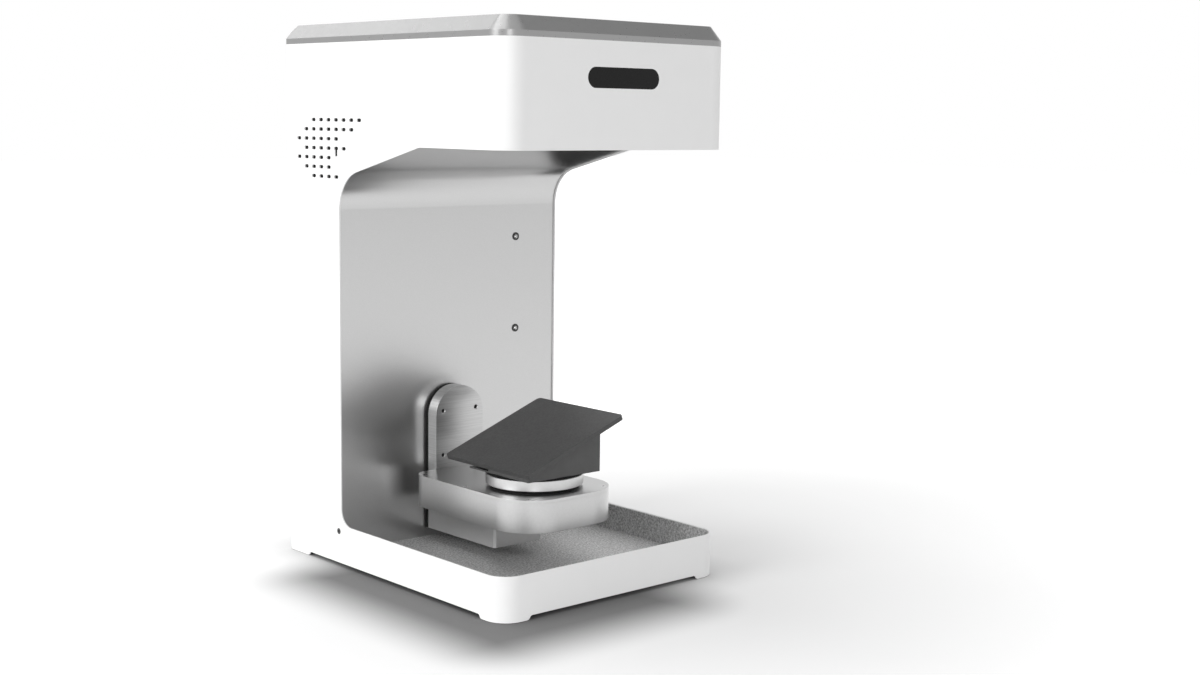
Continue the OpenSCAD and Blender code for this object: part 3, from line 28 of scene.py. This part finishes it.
# A material with one principled shader, kept in made under the name given, and short calls for its nodes
class Mat:
    def __init__(self, name):
        self.m = bpy.data.materials.new(name)
        self.m.use_nodes = True
        self.t = self.m.node_tree
        self.t.nodes.clear()
        self.out = self.n("ShaderNodeOutputMaterial")
        self.b = self.n("ShaderNodeBsdfPrincipled")
        self.link(self.b.outputs[0], self.out.inputs[0])
        self._pos = None
        made[name] = self.m

    def n(self, kind, **props):
        node = self.t.nodes.new(kind)
        for k, v in props.items():
            setattr(node, k, v)
        return node

    def link(self, a, b):
        self.t.links.new(a, b)

    def put(self, socket, value):
        if hasattr(value, "is_output"):
            self.link(value, socket)
        else:
            socket.default_value = value

    def set(self, **kw):
        for k, v in kw.items():
            self.put(self.b.inputs[k.replace("_", " ")], v)
        return self

    def pos(self):
        if self._pos is None:
            self._pos = self.n("ShaderNodeTexCoord").outputs["Object"]
        return self._pos

    def mapped(self, scale):
        mp = self.n("ShaderNodeMapping")
        mp.inputs["Scale"].default_value = scale
        self.link(self.pos(), mp.inputs["Vector"])
        return mp.outputs[0]

    def noise(self, scale, detail=2.0, rough=0.5, stretch=(1, 1, 1)):
        nd = self.n("ShaderNodeTexNoise")
        nd.inputs["Scale"].default_value = scale
        nd.inputs["Detail"].default_value = detail
        nd.inputs["Roughness"].default_value = rough
        self.link(self.mapped(stretch), nd.inputs["Vector"])
        return nd.outputs["Fac"]

    def math(self, op, a, b=0.0, c=0.0):
        nd = self.n("ShaderNodeMath", operation=op)
        for i, v in enumerate((a, b, c)):
            self.put(nd.inputs[i], v)
        return nd.outputs[0]

    def length(self, vector):
        nd = self.n("ShaderNodeVectorMath", operation="LENGTH")
        self.link(vector, nd.inputs[0])
        return nd.outputs["Value"]

    def ramp(self, fac, lo, hi, a=0.0, b=1.0):
        nd = self.n("ShaderNodeMapRange")
        nd.interpolation_type = "SMOOTHSTEP"
        self.put(nd.inputs["Value"], fac)
        for k, v in (("From Min", lo), ("From Max", hi), ("To Min", a), ("To Max", b)):
            nd.inputs[k].default_value = v
        return nd.outputs[0]

    def mix(self, fac, a, b):
        nd = self.n("ShaderNodeMix", data_type="RGBA")
        self.put(nd.inputs[0], fac)
        for i, v in ((6, a), (7, b)):
            if hasattr(v, "is_output"):
                self.link(v, nd.inputs[i])
            else:
                nd.inputs[i].default_value = (*v, 1)
        return nd.outputs[2]

    # Fine relief, with the edges rounded in the shading by the radius given
    def bump(self, height, distance, edge=0.0):
        bp = self.n("ShaderNodeBump")
        bp.inputs["Distance"].default_value = distance
        self.link(height, bp.inputs["Height"])
        if edge:
            bv = self.n("ShaderNodeBevel", samples=6)
            bv.inputs["Radius"].default_value = edge
            self.link(bv.outputs[0], bp.inputs["Normal"])
        self.link(bp.outputs[0], self.b.inputs["Normal"])


def grey(v, tint=(1, 1, 1)):
    return (v * tint[0], v * tint[1], v * tint[2])


def varied(mat, lo, hi, scale=30.0):
    return mat.mix(mat.ramp(mat.noise(scale, 3.0), 0.3, 0.7), grey(lo), grey(hi))


def paint(name, v, rough=0.35, grain=900.0, depth=0.00004, edge=0.0006, metallic=0.0, spread=0.02):
    m = Mat(name)
    m.set(Base_Color=varied(m, v * (1 - spread), v * (1 + spread)), Metallic=metallic)
    m.set(Roughness=m.ramp(m.noise(220.0, 3.0), 0.25, 0.75, rough * 0.9, rough * 1.1))
    m.bump(m.noise(grain, 2.0), depth, edge)


def plastic(name, v, rough=0.45, grain=1800.0, depth=0.00003, edge=0.0004, spec=0.5):
    m = Mat(name)
    m.b.inputs["Specular IOR Level"].default_value = spec
    m.set(Base_Color=varied(m, v * 0.94, v * 1.06, 60.0))
    m.set(Roughness=m.ramp(m.noise(500.0, 2.0), 0.3, 0.7, rough * 0.88, rough * 1.12))
    m.bump(m.noise(grain, 2.0), depth, edge)


# Bare metal, plain or with brushed lines drawn out by the three scales of brush
def metal(name, v, rough=0.3, brush=None, grain=1400.0, depth=0.00003, edge=0.0004, spread=0.05, tint=(1, 1, 1)):
    m = Mat(name)
    if brush:
        lines = m.noise(1.0, 4.0, 0.65, stretch=brush)
        fine = m.noise(1.0, 2.0, 0.5, stretch=tuple(2.7 * b for b in brush))
        h = m.math("MULTIPLY_ADD", fine, 0.5, lines)
        fac = m.ramp(lines, 0.35, 0.65)
    else:
        h = m.noise(grain, 3.0, 0.6)
        fac = m.ramp(m.noise(420.0, 3.0), 0.25, 0.75)
    m.set(Base_Color=m.mix(fac, grey(v * (1 - spread), tint), grey(v * (1 + spread), tint)), Metallic=1.0)
    m.set(Roughness=m.ramp(fac, 0.0, 1.0, rough * (1 - spread), rough * (1 + spread)))
    m.bump(h, depth, edge)


# Silver paint of the liner, smooth, and of the tray, granular
def silver(name, v, rough, depth, grain=1500.0, speck=0.12, metallic=1.0):
    m = Mat(name)
    g = m.noise(grain, 2.0, 0.7)
    tone = m.mix(m.ramp(g, 0.3, 0.7), grey(v * (1 - speck)), grey(v * (1 + speck)))
    m.set(Base_Color=tone, Metallic=metallic)
    m.set(Roughness=m.ramp(m.noise(60.0, 2.0), 0.3, 0.7, rough * 0.99, rough * 1.01))
    if depth:
        m.bump(g, depth, 0.0004)


def glass(name, v, rough=0.05):
    m = Mat(name)
    m.set(Base_Color=varied(m, v * 0.95, v * 1.05, 40.0))
    m.set(Roughness=m.ramp(m.noise(300.0, 2.0), 0.3, 0.7, rough * 0.8, rough * 1.2))
    m.b.inputs["Transmission Weight"].default_value = 0.85
    m.b.inputs["IOR"].default_value = 1.5


# One material for each material slot of the record, under the slot's name
paint("housing_white", 0.87, 0.42, edge=0.0, spread=0.004, depth=0.000006)
paint("cap_grey", 0.31, 0.3, metallic=0.8, grain=900.0, depth=0.000004, edge=0.0006, spread=0.01)
plastic("nameplate_black", 0.004, 0.3, grain=700.0, depth=0.000004, spec=0.18)
silver("liner_silver", 0.51, 0.28, 0.0, speck=0.03, metallic=0.97)
silver("tray_grey", 0.6, 0.6, 0.0003, grain=560.0, speck=0.35)
metal("zinc_sheet", 0.55, 0.38)
plastic("rubber_black", 0.008, 0.8, spec=0.2)
metal("aluminium_satin", 0.50, 0.3, grain=900.0, depth=0.0000015, spread=0.02)
metal("aluminium_brushed", 0.49, 0.3, brush=(24.0, 24.0, 1300.0), depth=0.000003, spread=0.08)
metal("aluminium_bright", 0.54, 0.34, grain=900.0, depth=0.0000015, spread=0.02)
metal("aluminium_black", 0.03, 0.35)
metal("bearing_steel", 0.6, 0.22)
metal("screw_steel", 0.55, 0.2, edge=0.0002)
paint("screw_black", 0.02, 0.4)
paint("motor_black", 0.025, 0.4)
plastic("plastic_black", 0.006, 0.6, spec=0.2)
plastic("plastic_dark_grey", 0.06, 0.42, depth=0.000006)
plastic("plate_dark_grey", 0.040, 0.4, depth=0.000004)
glass("lens_glass", 0.05)
glass("window_glass", 0.8)
plastic("board_green", 0.1, 0.4)
metal("brass", 0.6, 0.3, tint=(1.2, 0.95, 0.5))
slot_of = {s["node"]: s["material_slot"] for s in frame["record"]["subparts"]}
for name, obj in nodes.items():
    mat = made[slot_of[name]]
    if not obj.material_slots:
        obj.data.materials.append(mat)
    for s in obj.material_slots:
        s.material = mat


# A flat rectangle as an object of the scene
def sheet(name, half_x, half_y):
    mesh = bpy.data.meshes.new(name)
    corners = [(-half_x, -half_y, 0), (half_x, -half_y, 0), (half_x, half_y, 0), (-half_x, half_y, 0)]
    mesh.from_pydata(corners, [], [(0, 1, 2, 3)])
    ob = bpy.data.objects.new(name, mesh)
    bpy.context.collection.objects.link(ob)
    return ob


def aim(ob, at, look):
    ob.location = at
    ob.rotation_euler = (Vector(look) - Vector(at)).to_track_quat("-Z", "Y").to_euler()


# Floor that shows the object's shadow to the camera, partly cast by the lamps and partly painted into its
# colour, and a pale tone to reflections
FLOOR_HALF = 12.0
# Box and colour of the shadow painted on the floor
PAINTED_SHADOW_MIDDLE = (-0.066, -0.072)
PAINTED_SHADOW_HALF = (0.090, 0.122)
PAINTED_SHADOW_COLOUR = (0.04, 0.04, 0.04)

floor = sheet("floor", FLOOR_HALF, FLOOR_HALF)
fm = Mat("floor_white")
ray = fm.n("ShaderNodeLightPath")
# Ambient occlusion that darkens the floor's colour near the object, a painted contact shadow
painted_contact_shade = fm.n("ShaderNodeAmbientOcclusion", samples=16)
painted_contact_shade.inputs["Distance"].default_value = 0.05

# Painted shadow in the floor's colour: ambient occlusion near the object, times a soft box drawn out towards the
# front left as if cast by a soft light behind
xyz = fm.n("ShaderNodeSeparateXYZ")
fm.link(fm.pos(), xyz.inputs[0])
beyond = fm.n("ShaderNodeCombineXYZ")
for i, (middle, half) in enumerate(zip(PAINTED_SHADOW_MIDDLE, PAINTED_SHADOW_HALF)):
    reach = fm.math("SUBTRACT", fm.math("ABSOLUTE", fm.math("ADD", xyz.outputs[i], -middle)), half)
    fm.link(fm.math("MAXIMUM", reach, 0.0), beyond.inputs[i])
painted_box_shadow = fm.ramp(fm.length(beyond.outputs[0]), -0.01, 0.085, 0.2, 1.0)
shade = fm.math("MULTIPLY", fm.math("POWER", painted_contact_shade.outputs["AO"], 0.6), painted_box_shadow)

# The painted shadow darkens the floor's colour for camera rays only
painted_shadow_mask = fm.math("MULTIPLY", ray.outputs["Is Camera Ray"], fm.math("SUBTRACT", 1.0, shade))
fm.set(Base_Color=fm.mix(painted_shadow_mask, varied(fm, 0.80, 0.81, 3.0), PAINTED_SHADOW_COLOUR), Roughness=0.9)
fm.b.inputs["Specular IOR Level"].default_value = 0.0

# Glow that fades the floor into the white background with the distance, dimmed where the shadow is painted
distance = fm.length(fm.pos())
glow = fm.math("MULTIPLY", fm.ramp(distance, 0.2, 1.55, 0.1, 1.0), shade)
glow = fm.math("MULTIPLY", ray.outputs["Is Camera Ray"], glow)
mirrored = fm.math("MULTIPLY", ray.outputs["Is Glossy Ray"], fm.ramp(distance, 0.3, 2.2, 0.5, 0.6))
em = fm.n("ShaderNodeEmission")
fm.link(fm.math("ADD", glow, mirrored), em.inputs["Strength"])
add = fm.n("ShaderNodeAddShader")
fm.link(fm.b.outputs[0], add.inputs[0])
fm.link(em.outputs[0], add.inputs[1])
fm.link(add.outputs[0], fm.out.inputs[0])
floor.data.materials.append(fm.m)

# World: soft light on the object, plain white to the camera and in reflections
WORLD_LIGHT = 0.56
WORLD_SEEN = 1.0

world = bpy.data.worlds.new("studio")
bpy.context.scene.world = world
world.use_nodes = True
wt = world.node_tree
wt.nodes.clear()


def background(strength):
    nd = wt.nodes.new("ShaderNodeBackground")
    nd.inputs[0].default_value = WHITE_LIGHT
    nd.inputs[1].default_value = strength
    return nd.outputs[0]


def either(a, b):
    nd = wt.nodes.new("ShaderNodeMath")
    nd.operation = "MAXIMUM"
    wt.links.new(a, nd.inputs[0])
    wt.links.new(b, nd.inputs[1])
    return nd.outputs[0]


kind = wt.nodes.new("ShaderNodeLightPath").outputs
seen = either(either(kind["Is Camera Ray"], kind["Is Glossy Ray"]), kind["Is Transmission Ray"])
w_mix = wt.nodes.new("ShaderNodeMixShader")
wt.links.new(seen, w_mix.inputs[0])
wt.links.new(background(WORLD_LIGHT), w_mix.inputs[1])
wt.links.new(background(WORLD_SEEN), w_mix.inputs[2])
wt.links.new(w_mix.outputs[0], wt.nodes.new("ShaderNodeOutputWorld").inputs[0])


# Lamps
def area(name, at, look, size, power):
    lamp = bpy.data.lights.new(name, "AREA")
    lamp.shape = "RECTANGLE"
    lamp.size, lamp.size_y = size
    lamp.energy = power
    ob = bpy.data.objects.new(name, lamp)
    bpy.context.collection.objects.link(ob)
    aim(ob, at, look)


area("key_left", (-2.8, 0.5, 1.5), (0, 0, 0.25), (1.6, 1.6), 42)
area("top_soft", (-0.3, 0.9, 3.0), (0, 0, 0.1), (2.0, 2.0), 30)
area("back_soft", (-0.3, 2.6, 2.2), (0, 0, 0.3), (1.6, 1.0), 6)
area("camera_soft", (-1.9, -2.5, 1.3), (0, 0, 0.2), (0.9, 1.4), 19)


# Dark cards that only reflections see
def flag(name, at, look, size, tone):
    ob = sheet(name, size[0] / 2, size[1] / 2)
    aim(ob, at, look)
    card = Mat(name + "_card")
    card.set(Base_Color=(0, 0, 0, 1), Emission_Color=WHITE_LIGHT, Emission_Strength=tone)
    card.b.inputs["Specular IOR Level"].default_value = 0.0
    ob.data.materials.append(card.m)
    for a in ("visible_camera", "visible_diffuse", "visible_shadow", "visible_transmission"):
        setattr(ob, a, False)


flag("flag_floor", (1.75, 1.65, 0.002), (1.75, 1.65, 1.0), (3.0, 3.0), 0.0)
flag("flag_high_right", (1.5, -0.3, 1.8), (0, -0.1, 0.45), (1.9, 1.5), 0.5)

# Camera of the photograph, from the fit
AZ, EL, ROLL = (math.radians(v) for v in (-41.9731, 7.4805, 0.7623))
TARGET_RIGHT = 0.092758
TARGET_UP = 0.215174
DISTANCE = 1.568951
FOCAL_PIXELS = 1681.21
PHOTO_WIDTH = 1200.0
SENSOR = 36.0

back = Vector((math.sin(AZ) * math.cos(EL), -math.cos(AZ) * math.cos(EL), math.sin(EL)))
right = (-back).cross(Vector((0, 0, 1))).normalized()
up = right.cross(-back)
rolled_right = right * math.cos(ROLL) + up * math.sin(ROLL)
rolled_up = -right * math.sin(ROLL) + up * math.cos(ROLL)
place = right * TARGET_RIGHT + Vector((0, 0, TARGET_UP)) + back * DISTANCE
cam_data = bpy.data.cameras.new("camera")
cam_data.sensor_fit = "HORIZONTAL"
cam_data.sensor_width = SENSOR
cam_data.lens = FOCAL_PIXELS * SENSOR / PHOTO_WIDTH
cam_data.clip_end = 60.0
camera = bpy.data.objects.new("camera", cam_data)
bpy.context.collection.objects.link(camera)
turn = Matrix((rolled_right, rolled_up, back)).transposed().to_4x4()
camera.matrix_world = Matrix.Translation(place) @ turn
bpy.context.scene.camera = camera
bpy.context.scene.view_settings.view_transform = "Standard"
